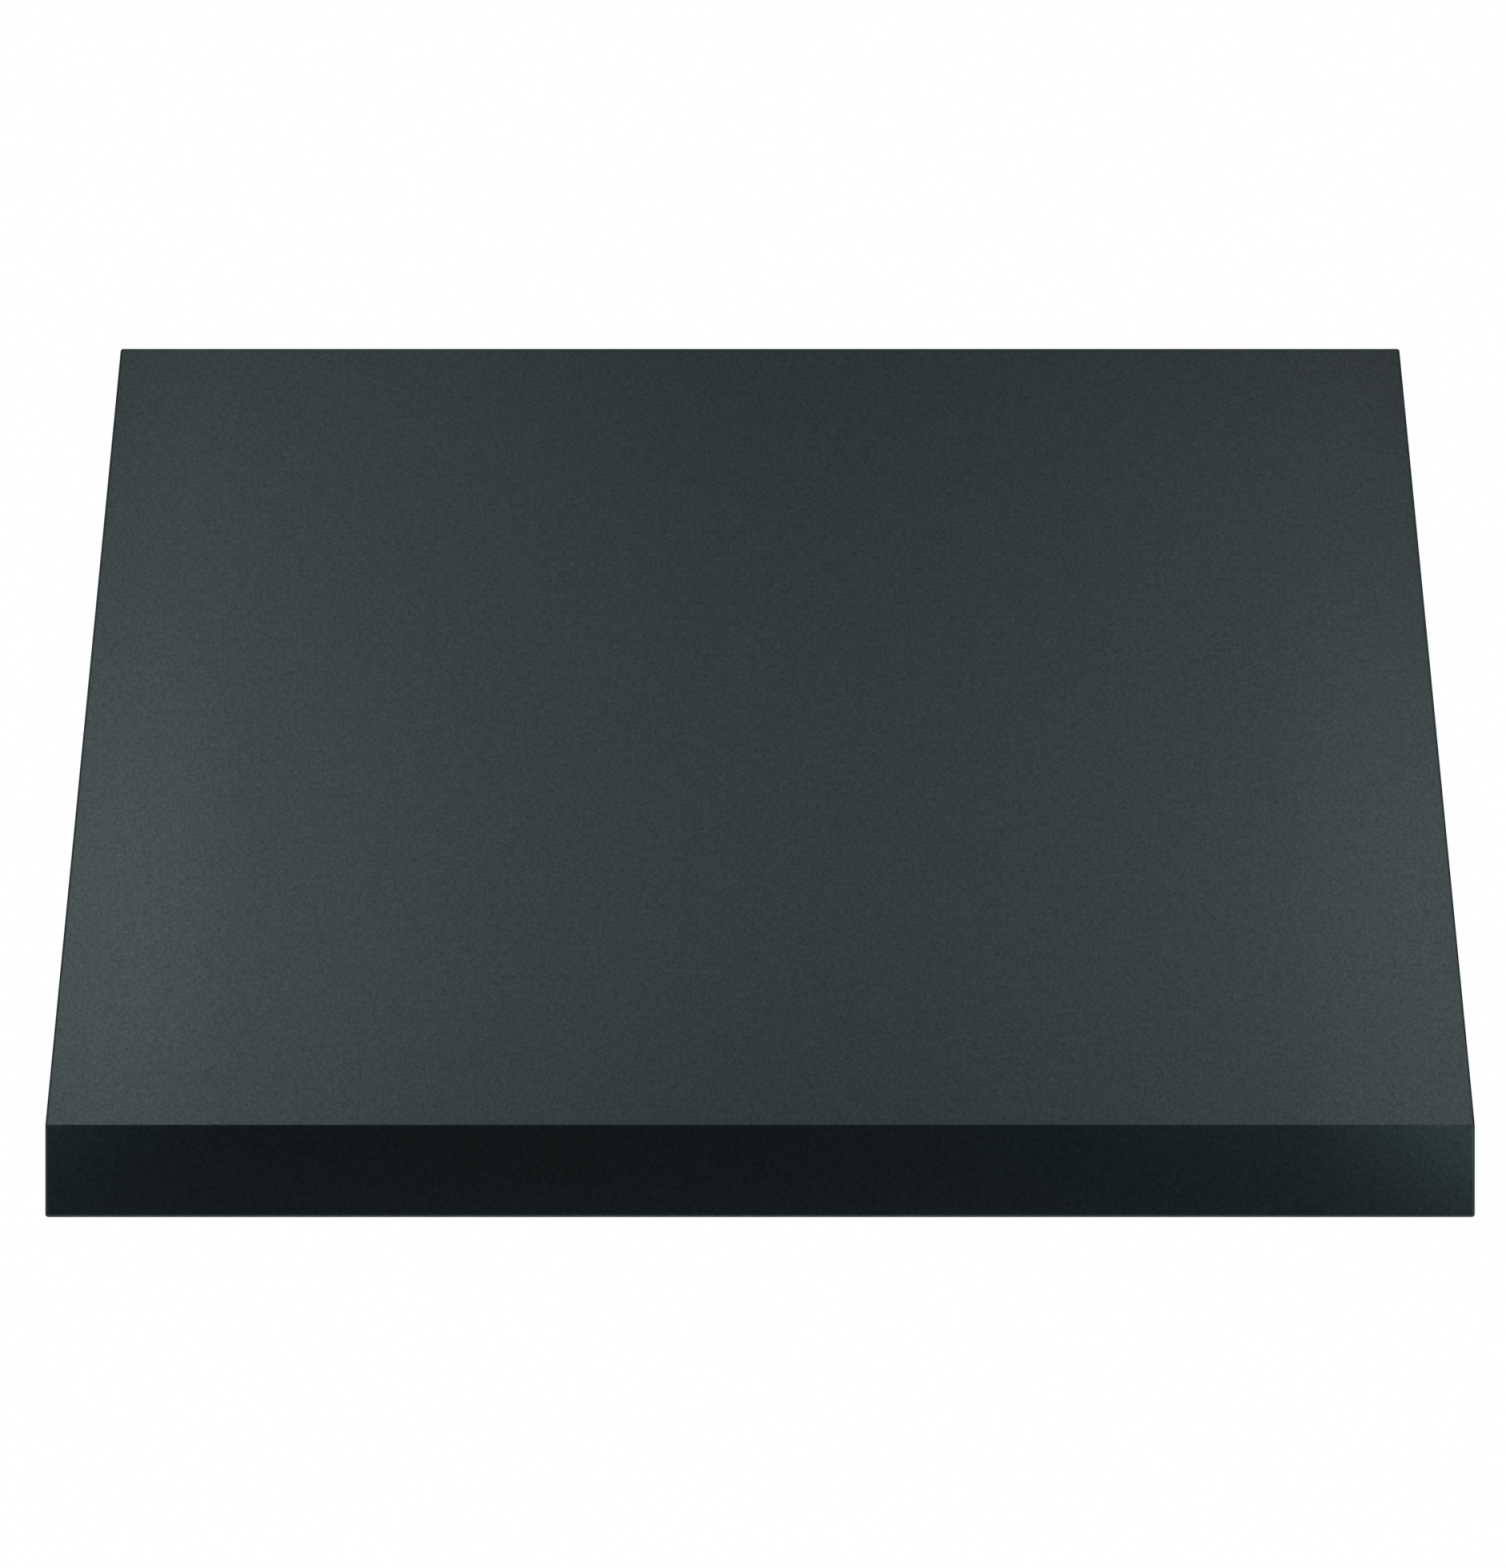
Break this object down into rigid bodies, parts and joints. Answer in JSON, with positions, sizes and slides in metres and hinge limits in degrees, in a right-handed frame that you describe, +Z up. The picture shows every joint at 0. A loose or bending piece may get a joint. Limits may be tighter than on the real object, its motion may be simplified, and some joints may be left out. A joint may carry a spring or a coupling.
{
  "type": "island range hood",
  "caption": "Sloped ceiling-hung canopy hood with drop-down baffle filters, twin blower, damper collar, knobs and lamps.",
  "frame": {"origin": "centre of the four ceiling hangers' upper faces, on the duct's axis", "axes": "+Z up along the duct, -Y to the front panel, X along the canopy's width"},
  "size_m": [0.914, 0.864, 0.588],
  "materials": {
    "slate_coat": "satin fine-textured dark slate powder coat",
    "stainless": "fine brushed stainless steel",
    "bright_steel": "ground bright steel",
    "galvanised": "dull spangled galvanised sheet",
    "painted_steel": "black baked enamel",
    "wheel_aluminium": "dull formed aluminium",
    "black_plastic": "moulded, matte",
    "pale_plastic": "moulded, matte",
    "frosted_glass": "frosted on the inside",
    "cable_jacket": "soft matte jacket"
  },
  "bodies": {
    "root": {"front_panel": "slate_coat", "back_panel": "slate_coat", "left_end_panel": "slate_coat", "right_end_panel": "slate_coat", "front_rail": "stainless", "rear_rail": "stainless", "left_side_rail": "stainless", "right_side_rail": "stainless", "grease_gutter": "stainless", "cup_bracket": "stainless", "lamp_front_left": "stainless", "lamp_front_right": "stainless", "lamp_rear_left": "stainless", "lamp_rear_right": "stainless", "damper_rod": "bright_steel", "top_deck": "galvanised", "duct_collar": "galvanised", "outlet_plenum": "galvanised", "volute_left": "galvanised", "volute_right": "galvanised", "motor_bracket": "galvanised", "control_box": "galvanised", "junction_box": "galvanised", "junction_cover": "galvanised", "hanger_front_left": "galvanised", "hanger_front_right": "galvanised", "hanger_rear_left": "galvanised", "hanger_rear_right": "galvanised", "motor": "painted_steel", "fan_switch": "black_plastic", "light_switch": "black_plastic", "capacitor": "pale_plastic", "lens_front_left": "frosted_glass", "lens_front_right": "frosted_glass", "lens_rear_left": "frosted_glass", "lens_rear_right": "frosted_glass", "supply_lead": "cable_jacket", "motor_lead": "cable_jacket"},
    "filter_left": {"filter_frame_left": "stainless", "baffles_left": "stainless", "filter_handle_left": "stainless", "filter_latch_left": "stainless"},
    "filter_centre": {"filter_frame_centre": "stainless", "baffles_centre": "stainless", "filter_handle_centre": "stainless", "filter_latch_centre": "stainless"},
    "filter_right": {"filter_frame_right": "stainless", "baffles_right": "stainless", "filter_handle_right": "stainless", "filter_latch_right": "stainless"},
    "fan_control": {"fan_spindle": "bright_steel", "fan_knob": "stainless"},
    "light_control": {"light_spindle": "bright_steel", "light_knob": "stainless"},
    "rotor": {"motor_shaft": "bright_steel", "blower_wheel_left": "wheel_aluminium", "blower_wheel_right": "wheel_aluminium"},
    "damper_left": {"damper_flap_left": "galvanised"},
    "damper_right": {"damper_flap_right": "galvanised"},
    "cup": {"grease_cup": "stainless"}
  },
  "joints": [
    {"name": "filter_left_drop", "type": "hinge", "parent": "root", "child": "filter_left", "pos_m": [-0.287, 0.24, -0.518], "axis": [1, 0, 0], "range_deg": [0, 75], "deforming": ["filter_latch_left"]},
    {"name": "filter_centre_drop", "type": "hinge", "parent": "root", "child": "filter_centre", "pos_m": [0, 0.24, -0.518], "axis": [1, 0, 0], "range_deg": [0, 75], "deforming": ["filter_latch_centre"]},
    {"name": "filter_right_drop", "type": "hinge", "parent": "root", "child": "filter_right", "pos_m": [0.287, 0.24, -0.518], "axis": [1, 0, 0], "range_deg": [0, 75], "deforming": ["filter_latch_right"]},
    {"name": "fan_turn", "type": "hinge", "parent": "root", "child": "fan_control", "pos_m": [-0.06, -0.342, -0.533], "axis": [0, 0, 1], "range_deg": [0, 270]},
    {"name": "light_turn", "type": "hinge", "parent": "root", "child": "light_control", "pos_m": [0.06, -0.342, -0.533], "axis": [0, 0, 1], "range_deg": [0, 240]},
    {"name": "blower_spin", "type": "hinge", "parent": "root", "child": "rotor", "pos_m": [0, 0.04, -0.258], "axis": [1, 0, 0], "continuous": true},
    {"name": "damper_left_lift", "type": "hinge", "parent": "root", "child": "damper_left", "pos_m": [0, 0, -0.01], "axis": [0, 1, 0], "range_deg": [0, 80]},
    {"name": "damper_right_lift", "type": "hinge", "parent": "root", "child": "damper_right", "pos_m": [0, 0, -0.01], "axis": [0, -1, 0], "range_deg": [0, 80]},
    {"name": "cup_pull", "type": "slide", "parent": "root", "child": "cup", "axis": [0, 1, 0], "range_m": [0, 0.06]}
  ]
}
